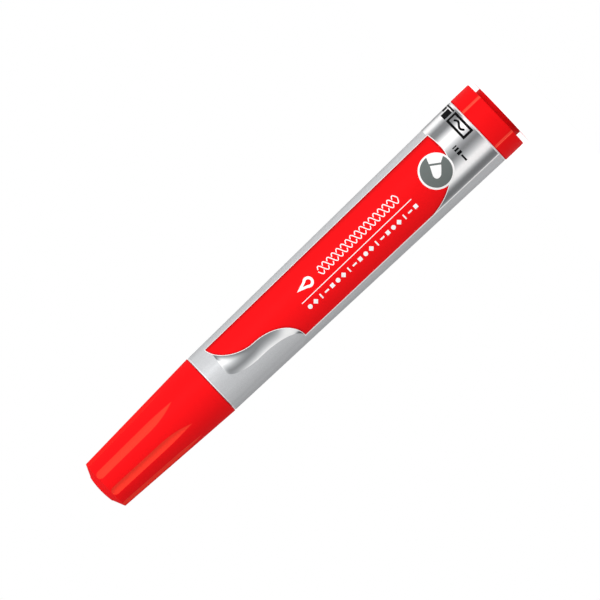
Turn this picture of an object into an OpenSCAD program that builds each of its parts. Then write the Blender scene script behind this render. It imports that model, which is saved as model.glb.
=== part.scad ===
// Whiteboard marker: tapered barrel, fibre reservoir, bullet nib, fluted pull-off cap.
// The axis is +Z. The origin is the centre of the end plug's flat rear face, and the
// label faces -Y. Millimetres.

/* [Barrel] */
// Length from the end plug's collar to the shoulder that the cap meets
barrel_len = 86.7; // [84:0.1:92]
// Outer radius at the end plug
barrel_rear_r = 9.38; // [9.3:0.01:9.38]
// Outer radius at the shoulder
barrel_front_r = 8.23; // [8.2:0.01:8.4]
// Ribs that hold the reservoir in the middle of the bore
rib_count = 6; // [4:1:8]

/* [End plug] */
// Radius of the collar behind the barrel
collar_r = 9.5; // [9.5:0.01:9.8]
// Length of the collar
collar_len = 5.75; // [5:0.05:7]
// Radius of the raised disc on the rear end
boss_r = 6.95; // [6:0.05:7.5]
// How far the disc stands behind the collar
boss_len = 1.35; // [1.2:0.05:1.8]
// Grooves along the collar
groove_count = 5; // [5:1:8]
// Width of one groove
groove_w = 0.6; // [0.4:0.05:0.8]

/* [Cap] */
// Length from the barrel's shoulder to the top of the dome
cap_len = 36.2; // [36:0.1:40]
// Outer radius at the mouth
cap_mouth_r = 8.3; // [8.25:0.01:8.5]
// Outer radius at the edge of the dome
cap_top_r = 6.76; // [6.7:0.01:7.2]
// Height of the dome above that edge
dome_rise = 1.74; // [1.5:0.02:2]
// Finger flutes around the cap
flute_count = 8; // [6:1:8]
// Width of a flute
flute_w = 2.1; // [1.6:0.1:2.2]
// Depth of a flute
flute_depth = 0.35; // [0.2:0.05:0.4]

/* [Nose and nib] */
// Length of the nose section beyond the shoulder
nose_len = 20; // [19:0.1:21]
// Radius of the sleeve around the nib
sleeve_r = 3.6; // [3.5:0.05:3.65]
// Radius of the nib
nib_r = 2.4; // [2.1:0.05:2.5]
// How far the nib stands out of the sleeve
nib_reach = 5.3; // [4:0.1:6]

/* [Reservoir] */
// Radius of the fibre core
core_r = 5.75; // [5.4:0.05:5.75]
// Thickness of the film around it
wrap_t = 0.1; // [0.08:0.01:0.12]

/* [Label] */
// Bare barrel between the label and the shoulder
label_gap = 4.4; // [3:0.1:8]
// Half width of the label at its cap end
label_half = 6.8; // [6.4:0.1:7]
// Height of the silver band where it goes round the back
band_h = 9.7; // [8:0.1:12]
// Bare barrel in the band's circle, in degrees
band_open = 68; // [45:1:80]

/* [Hidden] */
$fn = 96;

red = [0.90, 0.03, 0.04];
silver_grey = [0.74, 0.75, 0.76];
foil = [0.86, 0.87, 0.88];
natural = [0.93, 0.92, 0.88];
fibre = [0.70, 0.05, 0.07];

eps = 0.01;          // overlap that keeps a cut clear of a face
joint_gap = 0.1;     // between the cap's mouth and the shoulder
slip = 0.05;         // radial room of pieces that are pushed together
edge_steps = 4;      // straight steps in a rounded edge

// Heights of the main faces
collar_z = boss_len;
plug_z = collar_z + collar_len;
shoulder_z = plug_z + barrel_len;
cap_z = shoulder_z + joint_gap;
top_z = shoulder_z + cap_len;
dome_z = top_z - dome_rise;
nose_z = shoulder_z + nose_len;

// Fit of the end plug in the barrel
skirt_r = 8.2;
skirt_len = 8;
skirt_wall = 1.1;
plug_bore_r = skirt_r + slip;
bead = 0.15;         // height of a snap bead
bead_w = 1.2;
plug_bead_z = plug_z + 4;
rest_z = plug_z + 4.9;   // the reservoir's rear end

// Bore of the barrel, and the seat of the nose section at its front
bore_rear_r = 8;
bore_front_r = 7.12;
seat_r = 7;
seat_len = 13.5;
seat_z = shoulder_z - seat_len;
bore_z = plug_z + skirt_len + 0.3;
spigot_r = seat_r - slip;
spigot_len = 13;
spigot_bead_z = shoulder_z - 7;
rib_w = 0.8;
rib_r = core_r + wrap_t + slip;

// Inside of the nose section
land_len = 8;        // cylindrical land that carries the cap
hollow_r = 5.95;
hollow_len = 3;      // straight part of the hollow beyond the shoulder
throat_z = shoulder_z + 9.5;
nib_bore_r = nib_r + 0.03;
snap_z = shoulder_z + 5; // snap bead for the cap
vent_count = 4;

// Nib and reservoir lengths
nib_rear_z = shoulder_z - 8;
nib_tip_z = nose_z + nib_reach;
tip_len = 3.7;
core_front_z = shoulder_z + hollow_len - 0.2;

// Inside of the cap
mouth_bore_r = spigot_r + 0.17;
cone_r = 6.7;        // bore just beyond the step
step_z = shoulder_z + 9.2;
pocket_r = 5.28;     // holds the liner's base
pocket_z = shoulder_z + 31.9;
pocket_end_z = shoulder_z + 33.6;

// Liner
liner_r = 4.85;
liner_bore_r = 4;
seal_r = 3.8;
liner_open_z = shoulder_z + 16.2;
base_z = pocket_z + 0.3;
base_end_z = pocket_end_z - 0.1;
base_r = pocket_r - 0.06;

// Flute: a spindle laid along the cap's side, whose radius sets the width
flute_end_z = dome_z + 0.1;
flute_start_z = shoulder_z + 9.6;
flute_taper = 8.6;   // length over which the flute comes to its point
cap_slope = (cap_mouth_r - cap_top_r) / (dome_z - cap_z);
spindle_r = (flute_w * flute_w / 4 + flute_depth * flute_depth) / (2 * flute_depth);
spindle_h = spindle_r - flute_depth;

// Label: foils a little proud of the barrel
foil_in = 0.02;
foil_out = 0.11;
label_z = shoulder_z - label_gap;
label_flare = 0.0068;  // growth of the half width per millimetre
label_off = 0.08;      // the label's middle is this far to +X
print_gap = 0.22;      // white line between two foils
curve_steps = 12;
wave_mid = 9.4;        // from the label's end to the middle of the wave
wave_len = 10.25;      // from there to the wave's end
wave_power = 1.75;     // squareness of the wave's first half
round_len = 14.25;     // length of the red panel's rounded rear end
round_peak_x = 3.3;    // where that end reaches furthest back
panel_rear_z = plug_z + 9.1;

function arc(x, z, r, a0, a1) =
    [for (i = [0:edge_steps]) let (a = a0 + (a1 - a0) * i / edge_steps) [x + r * cos(a), z + r * sin(a)]];
function ring_bead(r, z, h) =
    [[r, z - bead_w / 2], [r + h, z - bead_w / 4], [r + h, z + bead_w / 4], [r, z + bead_w / 2]];
function barrel_r(z) = barrel_rear_r + (barrel_front_r - barrel_rear_r) * (z - plug_z) / barrel_len;
function bore_r(z) = bore_rear_r + (bore_front_r - bore_rear_r) * (z - bore_z) / (seat_z - bore_z);
function cap_r(z) = cap_mouth_r - cap_slope * (z - cap_z);
function backwards(points) = [for (i = [len(points) - 1:-1:0]) points[i]];

module turned(points) {
    rotate_extrude() polygon(points);
}

// ---- Barrel and end plug ----

module barrel() {
    edge = 0.25;
    color(silver_grey) {
        turned(concat(
            arc(barrel_rear_r - edge, plug_z + edge, edge, -90, 0),
            arc(barrel_front_r - edge, shoulder_z - edge, edge, 0, 90),
            [[seat_r, shoulder_z]],
            backwards(ring_bead(seat_r, spigot_bead_z, bead + eps)),
            [[seat_r, seat_z], [bore_r(seat_z), seat_z - 0.3], [bore_rear_r, bore_z], [plug_bore_r, bore_z - 0.2]],
            backwards(ring_bead(plug_bore_r, plug_bead_z, bead + eps)),
            [[plug_bore_r, plug_z]]
        ));
        for (i = [0:rib_count - 1]) rotate(360 * i / rib_count) barrel_rib();
    }
}

module barrel_rib() {
    low = bore_z + 1;
    high = seat_z - 2;
    root = 0.5;
    rotate([90, 0, 0]) translate([0, 0, -rib_w / 2]) linear_extrude(rib_w)
        polygon([[rib_r, low], [bore_r(low) + root, low], [bore_r(high) + root, high], [rib_r, high]]);
}

module end_plug() {
    edge = 0.25;
    floor_z = 3;
    cored_r = 5.4;
    inner_r = skirt_r - skirt_wall;
    tip_z = plug_z + skirt_len;
    color(red) {
        difference() {
            turned(concat(
                [[0, 0]],
                arc(boss_r - edge, edge, edge, -90, 0),
                [[boss_r, collar_z]],
                arc(collar_r - edge, collar_z + edge, edge, -90, 0),
                arc(collar_r - edge, plug_z - edge, edge, 0, 90),
                [[skirt_r, plug_z]],
                ring_bead(skirt_r, plug_bead_z, bead),
                [[skirt_r, tip_z - 0.5], [skirt_r - 0.4, tip_z], [inner_r, tip_z], [inner_r, floor_z]],
                [[cored_r, floor_z], [cored_r, collar_z + 0.1], [0, collar_z + 0.1]]
            ));
            for (i = [0:groove_count - 1]) rotate(180 * (2 * i + 1) / groove_count - 90) collar_groove();
        }
        plug_cross();
    }
}

module collar_groove() {
    translate([collar_r, 0, collar_z - 1]) cylinder(h = collar_len + 1 - eps, r = groove_w / 2);
}

// Cross inside the skirt that the reservoir stands on
module plug_cross() {
    web = 1;
    reach = skirt_r - skirt_wall / 2;
    low = collar_z + 0.05;
    for (a = [0, 90]) rotate(a) intersection() {
        translate([-reach, -web / 2, low]) cube([2 * reach, web, rest_z - low - 0.1]);
        union() {
            translate([0, 0, low]) cylinder(h = 3 - low + eps, r = 5.5);
            translate([0, 0, 3]) cylinder(h = rest_z - 3, r = reach);
        }
    }
}

// ---- Nose section and nib ----

module nose_section() {
    edge = 0.3;
    hollow_z = shoulder_z + hollow_len;
    cone_z = shoulder_z + land_len + 0.4;
    cone_end_z = nose_z - 5.6;
    root_r = sleeve_r + 0.18;
    color(silver_grey) difference() {
        turned(concat(
            [[spigot_r - 0.4, shoulder_z - spigot_len], [spigot_r, shoulder_z - spigot_len + 0.6]],
            ring_bead(spigot_r, spigot_bead_z, bead),
            ring_bead(spigot_r, snap_z, bead),
            [[spigot_r, cone_z - 0.4], [spigot_r - 0.4, cone_z], [root_r + 0.35, cone_end_z], [root_r, cone_end_z + 0.35]],
            arc(sleeve_r - edge, nose_z - edge, edge, 0, 90),
            [[nib_bore_r, nose_z], [nib_bore_r, throat_z], [3.9, throat_z - 1.2], [hollow_r, hollow_z]],
            [[hollow_r, shoulder_z - spigot_len]]
        ));
        for (i = [0:vent_count - 1]) rotate(45 + 360 * i / vent_count) nib_vent();
    }
}

// Air channel beside the nib
module nib_vent() {
    translate([0, -0.3, throat_z - 2]) cube([nib_bore_r + 0.3, 0.6, nose_z - throat_z + 3]);
}

function nib_outline(grow) = concat(
    [[0, nib_rear_z - grow], [0.9 + grow, nib_rear_z - grow], [nib_r + grow, nib_rear_z + 2.5]],
    [for (i = [0:curve_steps]) let (a = 90 * i / curve_steps)
        [(nib_r + grow) * cos(a), nib_tip_z - tip_len + tip_len * sin(a)]]
);

module nib() {
    color(fibre) turned(nib_outline(0));
}

// ---- Reservoir ----

module reservoir_core() {
    color(fibre) difference() {
        translate([0, 0, rest_z]) cylinder(h = core_front_z - rest_z, r = core_r);
        turned(nib_outline(0.02));
    }
}

module reservoir_wrap() {
    color(natural) difference() {
        translate([0, 0, rest_z]) cylinder(h = core_front_z - rest_z, r = core_r + wrap_t);
        translate([0, 0, rest_z - 1]) cylinder(h = core_front_z - rest_z + 2, r = core_r + 0.01);
    }
}

// ---- Label ----

function label_left(z) = label_off + label_half + label_flare * (label_z - z);
function label_right(z) = label_off - label_half - label_flare * (label_z - z);

wave_z = label_z - wave_mid;
wave_end_z = wave_z - wave_len;
wave_x = 0.2;

// Edge of the red panel towards the cap, from the left corner to the right one
red_wave = concat(
    [for (i = [0:curve_steps]) let (a = 90 * i / curve_steps)
        [label_left(label_z) - (label_left(label_z) - wave_x) * pow(sin(a), 2 / wave_power),
         wave_z + wave_mid * pow(cos(a), 2 / wave_power)]],
    [for (i = [1:curve_steps]) let (a = 90 * i / curve_steps)
        [label_right(wave_end_z) + (wave_x - label_right(wave_end_z)) * cos(a), wave_z - wave_len * sin(a)]]
);

// Lower edge of the silver swoosh, from the label's end to the wave's end
swoosh_low = concat(
    [for (i = [0:curve_steps]) let (a = 90 * i / curve_steps) [-0.24 - 3.06 * sin(a), label_z - 8.1 * (1 - cos(a))]],
    [for (i = [0:curve_steps]) let (a = 90 * i / curve_steps)
        [label_right(wave_end_z) + (-3.3 - label_right(wave_end_z)) * cos(a), wave_z - wave_len * sin(a)]]
);

// Rounded rear edge of the red panel, from the left edge to the right one; gap moves it out
function red_rear(gap) = let (
    top_x = label_left(panel_rear_z),
    low_x = label_right(panel_rear_z + round_len),
    low_b = round_peak_x - low_x,
    base_z = panel_rear_z + round_len,
    reach = round_len + gap,
    flat = asin(0.23)
) concat(
    [for (i = [0:3]) let (a = flat * (3 - i) / 3)
        [round_peak_x + (top_x - round_peak_x) * sin(a) / sin(flat), base_z - reach * cos(a)]],
    [for (i = [1:curve_steps]) let (a = 90 * i / curve_steps)
        [round_peak_x - (low_b + gap) * sin(a), base_z - reach * cos(a)]]
);

// Foil between two heights, as thick as the print stands proud
module foil_cone(z0, z1) {
    difference() {
        translate([0, 0, z0]) cylinder(h = z1 - z0, r1 = barrel_r(z0) + foil_out, r2 = barrel_r(z1) + foil_out);
        translate([0, 0, z0 - 1])
            cylinder(h = z1 - z0 + 2, r1 = barrel_r(z0 - 1) + foil_in, r2 = barrel_r(z1 + 1) + foil_in);
    }
}

// An outline in X and Z, pushed through the front half of the barrel
module front_stamp(points) {
    rotate([90, 0, 0]) linear_extrude(12) polygon(points);
}

module label_red_panel() {
    color(red) intersection() {
        foil_cone(plug_z + 2, label_z + 1);
        front_stamp(concat(red_wave, backwards(red_rear(0))));
    }
}

module label_silver_swoosh() {
    color(foil) difference() {
        intersection() {
            foil_cone(wave_end_z - 1, label_z);
            front_stamp(concat([[label_left(label_z), label_z + 1]], swoosh_low, [[label_left(label_z), wave_end_z]]));
        }
        front_stamp(concat([[label_left(label_z) + 3, label_z + 3]],
            [for (p = red_wave) [p[0] - print_gap * 0.6, p[1] + print_gap * 0.6]],
            [[label_right(wave_end_z) - 3, wave_end_z - 3], [label_left(wave_end_z) + 3, wave_end_z - 3]]));
    }
}

module label_silver_band() {
    low = plug_z + 0.3;
    edge = [for (p = red_rear(print_gap)) if (p[0] > label_right(p[1]) + 0.2) p];
    blunt = edge[len(edge) - 1];
    color(foil) intersection() {
        foil_cone(low, panel_rear_z + round_len);
        union() {
            front_stamp(concat(
                [[label_right(low - 1), low - 1], [label_left(low - 1), low - 1]],
                edge,
                [[label_right(blunt[1]), blunt[1]]]
            ));
            band_back(low - 1, panel_rear_z - print_gap, 45);
            band_back(low - 1, plug_z + band_h, 57);
        }
    }
}

// Sector for the part of the band that goes round the back, from an angle left of the label's middle
module band_back(low, high, from) {
    reach = 24;
    to = 308 - band_open;
    turns = 3;
    translate([0, 0, low]) linear_extrude(high - low) polygon(concat(
        [[0, 0]],
        [for (i = [0:turns]) let (a = from + (to - from) * i / turns - 90) reach * [cos(a), sin(a)]]
    ));
}

// ---- Cap ----

function spindle_width(z) =
    z < 1 ? sqrt(1 - pow(1 - z, 2))
    : z < flute_len - flute_taper ? 1
    : 1 - pow((z - flute_len + flute_taper) / flute_taper, 2);
flute_len = flute_end_z - flute_start_z;
flute_stations = concat(
    [0, 0.12, 0.4, 1],
    [for (i = [0:8]) flute_len - flute_taper + flute_taper * i / 8]
);

// Cutter for one flute: its axis stands off the cap's side, and it widens to cut deeper
module flute_cutter() {
    points = [for (z = flute_stations)
        [sqrt(pow(spindle_h, 2) + pow(flute_w / 2 * spindle_width(z), 2)), z]];
    lean = atan(cap_slope);
    translate([cap_r(flute_end_z), 0, flute_end_z]) rotate([0, 180 - lean, 0])
        translate([-spindle_h, 0, 0]) rotate_extrude() polygon(concat([[0, 0]], points, [[0, flute_len]]));
}

module cap_shell() {
    edge = 0.45;
    lip = 0.2;
    disc_r = 3.7;
    disc_step = 0.15;
    flank_z = dome_z + 1.25;
    color(red) difference() {
        turned(concat(
            arc(cap_mouth_r - lip, cap_z + lip, lip, -90, 0),
            arc(cap_top_r - edge, dome_z - edge * 0.6, edge, 5, 65),
            [[disc_r + 0.15, flank_z], [disc_r, flank_z + disc_step]],
            [for (i = [1:edge_steps]) let (a = 1 - i / edge_steps)
                [disc_r * a, top_z - (top_z - flank_z - disc_step) * a * a]],
            [[0, pocket_end_z], [pocket_r, pocket_end_z], [pocket_r, pocket_z + 0.25]],
            [[pocket_r - 0.13, pocket_z + 0.15], [pocket_r - 0.13, pocket_z], [pocket_r + 0.15, pocket_z - 0.3]],
            [[cone_r, step_z], [mouth_bore_r, step_z - 0.4]],
            backwards(ring_bead(mouth_bore_r, snap_z, bead)),
            [[mouth_bore_r, cap_z + 0.4], [mouth_bore_r + 0.3, cap_z]]
        ));
        for (i = [0:flute_count - 1]) rotate(360 * (i + 0.5) / flute_count - 90) flute_cutter();
    }
}

module cap_liner() {
    color(natural) turned([
        [liner_bore_r + 0.25, liner_open_z], [liner_r + 0.4, liner_open_z], [liner_r + 0.4, liner_open_z + 1],
        [liner_r, liner_open_z + 1.6], [liner_r, base_z], [base_r, base_z], [base_r, base_end_z],
        [0, base_end_z], [0, base_z], [liner_bore_r, base_z], [liner_bore_r, liner_open_z + 2.4],
        [seal_r, liner_open_z + 1.7], [seal_r, liner_open_z + 1.1],
    ]);
}

barrel();
end_plug();
nose_section();
nib();
reservoir_core();
reservoir_wrap();
label_red_panel();
label_silver_swoosh();
label_silver_band();
cap_liner();
cap_shell();
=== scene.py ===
"""Looks of the whiteboard marker. Lengths are in millimetres until a mesh is made."""

import math

import bmesh
import bpy
import numpy as np
from mathutils import Matrix, Vector
from mathutils.geometry import delaunay_2d_cdt


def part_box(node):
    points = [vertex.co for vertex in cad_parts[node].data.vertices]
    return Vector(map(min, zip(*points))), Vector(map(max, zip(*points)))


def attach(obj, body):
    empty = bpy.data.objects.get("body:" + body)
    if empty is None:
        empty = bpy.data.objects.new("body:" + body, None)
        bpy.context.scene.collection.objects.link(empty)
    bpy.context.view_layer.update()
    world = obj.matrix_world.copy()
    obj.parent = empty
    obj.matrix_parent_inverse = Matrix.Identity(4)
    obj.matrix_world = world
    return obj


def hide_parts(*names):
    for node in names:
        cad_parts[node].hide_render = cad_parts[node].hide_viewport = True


MM = 0.001
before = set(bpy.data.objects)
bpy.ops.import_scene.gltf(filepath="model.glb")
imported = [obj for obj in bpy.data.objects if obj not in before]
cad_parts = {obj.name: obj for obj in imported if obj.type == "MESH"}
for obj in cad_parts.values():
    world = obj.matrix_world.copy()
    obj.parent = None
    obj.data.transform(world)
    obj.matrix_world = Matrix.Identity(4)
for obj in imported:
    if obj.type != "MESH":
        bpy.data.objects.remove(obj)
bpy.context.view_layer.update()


def span(node):
    """Lowest and highest corner of a CAD node, in millimetres."""
    low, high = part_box(node)
    return [v / MM for v in low], [v / MM for v in high]


# Heights along the axis, from the frame
plug_low, plug_high = span("end_plug")
barrel_low, barrel_high = span("barrel")
cap_low, cap_high = span("cap_shell")
nose_low, nose_high = span("nose_section")
nib_low, nib_high = span("nib")
liner_low, liner_high = span("cap_liner")
PLUG_Z = barrel_low[2]
SHOULDER_Z = barrel_high[2]
CAP_Z, TOP_Z = cap_low[2], cap_high[2]
COLLAR_R = plug_high[0]
REAR_R, FRONT_R = 9.38, 8.23
CAP_MOUTH_R, CAP_TOP_R = 8.3, 6.76
DOME_RISE = 1.74
DOME_Z = TOP_Z - DOME_RISE
COLLAR_Z = 1.35  # where the raised disc on the end meets the collar
BEAD = 0.15      # height of a snap bead
GROOVE = 0.16    # depth of the groove a bead sits in, in the barrel


# ---------------------------------------------------------------- mesh helpers

def wrapped(angle):
    """The same angle between -pi and pi."""
    return (angle + math.pi) % (2 * math.pi) - math.pi


def build(name, verts, faces, body, material, replaces=(), masks=None, crease=34.0):
    """A shown piece from points in millimetres, smooth except at edges sharper than crease degrees."""
    mesh = bpy.data.meshes.new(name)
    mesh.from_pydata([tuple(c * MM for c in v) for v in verts], [], faces)
    for key, values in (masks or {}).items():
        layer = mesh.attributes.new(key, "FLOAT", "POINT")
        layer.data.foreach_set("value", np.asarray(values, np.float32))
    work = bmesh.new()
    work.from_mesh(mesh)
    bmesh.ops.remove_doubles(work, verts=work.verts, dist=1e-8)
    bmesh.ops.recalc_face_normals(work, faces=work.faces)
    work.to_mesh(mesh)
    work.free()
    mesh.shade_smooth()
    mesh.set_sharp_from_angle(angle=math.radians(crease))
    obj = bpy.data.objects.new(name, mesh)
    bpy.context.scene.collection.objects.link(obj)
    mesh.materials.append(material)
    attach(obj, body)
    if replaces:
        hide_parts(*replaces)
    return obj


def rounded(points, steps=5, hold=0.12):
    """A profile from (r, z, fillet) corners: each fillet becomes an arc held by a point on either side."""
    out = []
    n = len(points)
    for i, (r, z, fillet) in enumerate(points):
        p = np.array([r, z], float)
        if fillet <= 0 or i in (0, n - 1):
            out.append(tuple(p))
            continue
        a = np.array(points[i - 1][:2], float) - p
        b = np.array(points[i + 1][:2], float) - p
        la, lb = np.linalg.norm(a), np.linalg.norm(b)
        a, b = a / la, b / lb
        half = math.acos(max(-1.0, min(1.0, float(a @ b)))) / 2
        reach = min(fillet / math.tan(half), 0.48 * la, 0.48 * lb)
        radius = reach * math.tan(half)
        centre = p + (a + b) / np.linalg.norm(a + b) * radius / math.sin(half)
        start, end = p + a * reach - centre, p + b * reach - centre
        if la > reach + 3 * hold:
            out.append(tuple(p + a * (reach + hold)))
        turn = math.atan2(start[0] * end[1] - start[1] * end[0], start @ end)
        for k in range(steps + 1):
            t = turn * k / steps
            c, s = math.cos(t), math.sin(t)
            out.append(tuple(centre + np.array([c * start[0] - s * start[1], s * start[0] + c * start[1]])))
        if lb > reach + 3 * hold:
            out.append(tuple(p + b * (reach + hold)))
    return out


def refine(profile, longest):
    """The same profile with no step longer than longest."""
    out = [profile[0]]
    for p, q in zip(profile, profile[1:]):
        count = max(1, math.ceil(math.dist(p, q) / longest))
        out += [(p[0] + (q[0] - p[0]) * k / count, p[1] + (q[1] - p[1]) * k / count)
                for k in range(1, count + 1)]
    return out


def circle_angles(count, centres=(), half=0.0, inner=6):
    """Angles round the axis, with extra ones in and beside each zone of half width half, in radians."""
    zone = [c + half * k / inner for c in centres for k in range(-inner, inner + 1)]
    zone += [c + s * half * 1.04 for c in centres for s in (-1, 1)]
    plain = [2 * math.pi * k / count for k in range(count)]
    clear = half * 1.1 + math.pi / count * 0.6
    plain = [a for a in plain if all(abs(wrapped(a - c)) > clear for c in centres)]
    return np.array(sorted((a % (2 * math.pi)) for a in plain + zone))


def lathe(profile, angles, shape=None, closed=False):
    """Points and faces of a turned profile; shape may move the radius by angle and height."""
    verts, rows = [], []
    for r, z in profile:
        if r < 1e-6:
            rows.append([len(verts)])
            verts.append((0.0, 0.0, z))
            continue
        radius = np.full(len(angles), r) if shape is None else shape(r, z, angles)
        rows.append(list(range(len(verts), len(verts) + len(angles))))
        verts += list(zip(radius * np.cos(angles), radius * np.sin(angles), np.full(len(angles), z)))
    faces = []
    pairs = list(zip(rows, rows[1:])) + ([(rows[-1], rows[0])] if closed else [])
    count = len(angles)
    for low, high in pairs:
        for k in range(count):
            m = (k + 1) % count
            if len(low) == 1 and len(high) == 1:
                continue
            if len(low) == 1:
                faces.append((low[0], high[m], high[k]))
            elif len(high) == 1:
                faces.append((low[k], low[m], high[0]))
            else:
                faces.append((low[k], low[m], high[m], high[k]))
    return verts, faces


# ---------------------------------------------------------------- materials

def material(name, colour, rough, metal=0.0, level=0.5, sheen=0.0):
    """A new material with its Principled shader, for detail to be wired in."""
    m = bpy.data.materials.new(name)
    m.use_nodes = True
    shader = m.node_tree.nodes["Principled BSDF"]
    shader.inputs["Base Color"].default_value = (*colour, 1.0)
    shader.inputs["Roughness"].default_value = rough
    shader.inputs["Metallic"].default_value = metal
    shader.inputs["Specular IOR Level"].default_value = level
    shader.inputs["Sheen Weight"].default_value = sheen
    return m, shader


class Wires:
    """Short ways to add the nodes that every material here uses."""

    def __init__(self, m, shader):
        self.tree, self.shader = m.node_tree, shader
        self.place = self.add("ShaderNodeTexCoord").outputs["Object"]

    def add(self, kind, **values):
        node = self.tree.nodes.new(kind)
        for key, value in values.items():
            if key in node.inputs:
                node.inputs[key].default_value = value
            else:
                setattr(node, key, value)
        return node

    def link(self, a, b):
        self.tree.links.new(a, b)

    def noise(self, scale, detail=3.0, stretch=None, roughness=0.5):
        """Noise in object space; stretch scales the space along each axis first."""
        node = self.add("ShaderNodeTexNoise", Scale=scale, Detail=detail, Roughness=roughness)
        if stretch:
            mapping = self.add("ShaderNodeMapping", Scale=stretch)
            self.link(self.place, mapping.inputs["Vector"])
            self.link(mapping.outputs["Vector"], node.inputs["Vector"])
        else:
            self.link(self.place, node.inputs["Vector"])
        return node.outputs["Fac"]

    def cells(self, scale):
        """A random grey for each small cell."""
        node = self.add("ShaderNodeTexVoronoi", Scale=scale)
        self.link(self.place, node.inputs["Vector"])
        split = self.add("ShaderNodeSeparateColor")
        self.link(node.outputs["Color"], split.inputs["Color"])
        return split.outputs["Red"]

    def ranged(self, value, low, high, at0=0.0, at1=1.0):
        """value carried from at0..at1 to low..high."""
        node = self.add("ShaderNodeMapRange")
        for socket, v in (("From Min", at0), ("From Max", at1), ("To Min", low), ("To Max", high)):
            node.inputs[socket].default_value = v
        self.link(value, node.inputs["Value"])
        return node.outputs["Result"]

    def ramp(self, value, stops):
        node = self.add("ShaderNodeValToRGB")
        elements = node.color_ramp.elements
        while len(elements) < len(stops):
            elements.new(0.5)
        for element, (place, colour) in zip(elements, stops):
            element.position, element.color = place, (*colour, 1.0)
        self.link(value, node.inputs["Fac"])
        return node.outputs["Color"]

    def tinted(self, colour, value, low, high):
        """colour multiplied by value carried to low..high."""
        node = self.add("ShaderNodeMix", data_type="RGBA", blend_type="MULTIPLY")
        node.inputs["Factor"].default_value = 1.0
        grey = self.add("ShaderNodeCombineColor")
        amount = self.ranged(value, low, high)
        for channel in ("Red", "Green", "Blue"):
            self.link(amount, grey.inputs[channel])
        if hasattr(colour, "is_output"):
            self.link(colour, node.inputs["A"])
        else:
            node.inputs["A"].default_value = (*colour, 1.0)
        self.link(grey.outputs["Color"], node.inputs["B"])
        return node.outputs["Result"]

    def bump(self, value, distance, strength=1.0, under=None):
        node = self.add("ShaderNodeBump", Strength=strength, Distance=distance)
        self.link(value, node.inputs["Height"])
        if under is not None:
            self.link(under, node.inputs["Normal"])
        return node.outputs["Normal"]

    def mask(self, name):
        node = self.add("ShaderNodeAttribute", attribute_name=name)
        return node.outputs["Fac"]

    def colour(self, socket):
        self.link(socket, self.shader.inputs["Base Color"])

    def rough(self, socket):
        self.link(socket, self.shader.inputs["Roughness"])

    def normal(self, socket):
        self.link(socket, self.shader.inputs["Normal"])


def red_plastic():
    """Moulded glossy red with a fine skin from the mould; one mask paints a highlight that makes flutes and
    grooves paler, another paints shade.
    """
    m, shader = material("red_plastic", (0.86, 0.006, 0.009), 0.42, level=0.03)
    w = Wires(m, shader)
    # Painted highlight: the mask makes flutes and grooves paler red
    base = w.ramp(w.mask("painted_highlight"), [(0.0, (0.86, 0.0062, 0.0088)), (0.3, (0.88, 0.018, 0.014)),
                                     (0.7, (0.93, 0.041, 0.024)), (1.0, (0.97, 0.085, 0.055))])
    # Painted shade: darker red at the cap's mouth, the collar's rim next to the barrel and the raised disc
    base = w.tinted(base, w.mask("shade"), 1.0, 0.66)
    w.colour(w.tinted(base, w.noise(140.0, 4.0), 0.98, 1.0))
    w.rough(w.ranged(w.noise(900.0, 3.0), 0.34, 0.46))
    grain = w.bump(w.noise(5200.0, 2.0), 0.000012, 0.35)
    w.normal(w.bump(w.noise(210.0, 2.0), 0.00006, 0.16, grain))
    return m


def barrel_plastic():
    """Silver-grey plastic with fine flake, drawn out along the barrel; the edge mask paints a highlight on its two
    end rims.
    """
    m, shader = material("barrel_plastic", (0.60, 0.61, 0.62), 0.36, metal=0.18, level=0.12)
    w = Wires(m, shader)
    drawn = w.noise(1.0, 4.0, (700.0, 700.0, 26.0))
    base = w.ramp(drawn, [(0.2, (0.565, 0.575, 0.59)), (0.8, (0.63, 0.64, 0.655))])
    # Painted highlight: paler at the barrel's two end rims
    base = w.tinted(base, w.mask("edge"), 1.0, 1.5)
    w.colour(w.tinted(base, w.cells(9000.0), 0.93, 1.05))
    w.rough(w.ranged(w.noise(1400.0, 3.0), 0.30, 0.44))
    flake = w.bump(w.cells(9000.0), 0.000006, 0.25)
    w.normal(w.bump(w.noise(240.0, 2.0), 0.00005, 0.14, flake))
    return m


def red_print():
    """Red ink on film: smooth, with a faint screen grain and orange peel."""
    m, shader = material("red_print", (0.87, 0.006, 0.009), 0.38, level=0.03)
    w = Wires(m, shader)
    base = w.ramp(w.noise(3800.0, 2.0), [(0.3, (0.855, 0.0062, 0.0088)), (0.7, (0.875, 0.0068, 0.0096))])
    base = w.tinted(base, w.noise(90.0, 3.0), 0.985, 1.0)
    # Painted shade: the mask makes the red darker towards the edge of the print
    w.colour(w.tinted(base, w.mask("painted_shade_and_shine"), 1.0, 0.34))
    w.rough(w.ranged(w.noise(1100.0, 3.0), 0.32, 0.44))
    w.normal(w.bump(w.noise(3600.0, 2.0), 0.000008, 0.2))
    return m


def silver_foil():
    """Metallised film with dark and light streaks that are painted reflections, carried by a mask on the mesh."""
    m, shader = material("silver_foil", (0.8, 0.82, 0.84), 0.32, metal=0.08, level=0.25)
    w = Wires(m, shader)
    # Painted reflection: the mask sets the foil's streaks from black to white
    base = w.ramp(w.mask("painted_shade_and_shine"), [(0.0, (0.0, 0.0, 0.0)), (0.3, (0.072, 0.074, 0.077)),
                                   (0.5, (0.207, 0.214, 0.221)), (0.65, (0.370, 0.380, 0.390)),
                                   (0.8, (0.59, 0.60, 0.61)), (1.0, (0.97, 0.97, 0.97))])
    brushed = w.noise(1.0, 5.0, (2600.0, 2600.0, 60.0), 0.6)
    w.colour(w.tinted(base, brushed, 0.97, 1.02))
    w.rough(w.ranged(brushed, 0.28, 0.38))
    w.normal(w.bump(brushed, 0.000002, 0.2))
    return m


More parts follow.
